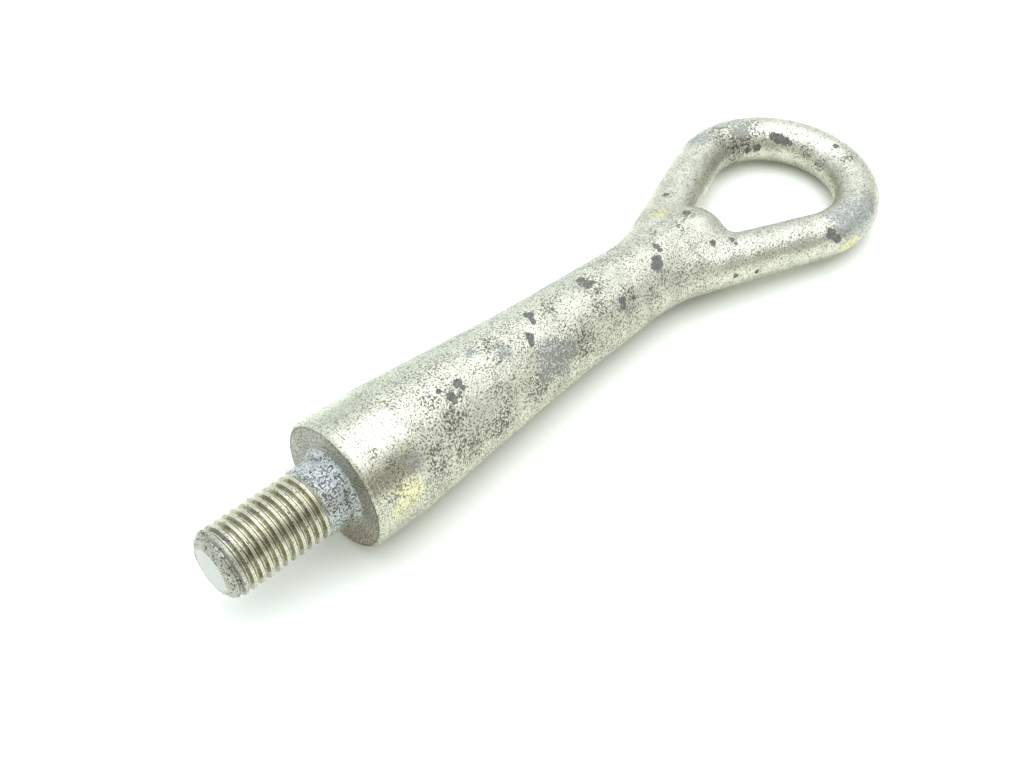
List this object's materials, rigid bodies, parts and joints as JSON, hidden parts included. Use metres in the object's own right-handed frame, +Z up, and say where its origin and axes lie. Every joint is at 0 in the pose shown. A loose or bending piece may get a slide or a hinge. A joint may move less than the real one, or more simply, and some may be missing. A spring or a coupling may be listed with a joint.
{
  "type": "tow eye",
  "caption": "Screw-in tow eye: a one-piece steel forging with a threaded stud, a round shoulder, a tapering shank and a flat-lying pear-shaped loop.",
  "frame": {"origin": "centre of the shoulder's flat face, on the pull axis", "axes": "+X along the pull axis from the shoulder towards the loop, -X towards the tip of the thread, +Z up at right angles to the loop's plane, +Y across the loop"},
  "size_m": [0.2083, 0.0554, 0.0304],
  "materials": {
    "plated_steel": "worn zinc plating over a forged surface, bright silver with dark specks and chips"
  },
  "bodies": {
    "root": {"tow_eye": "plated_steel"}
  },
  "joints": []
}
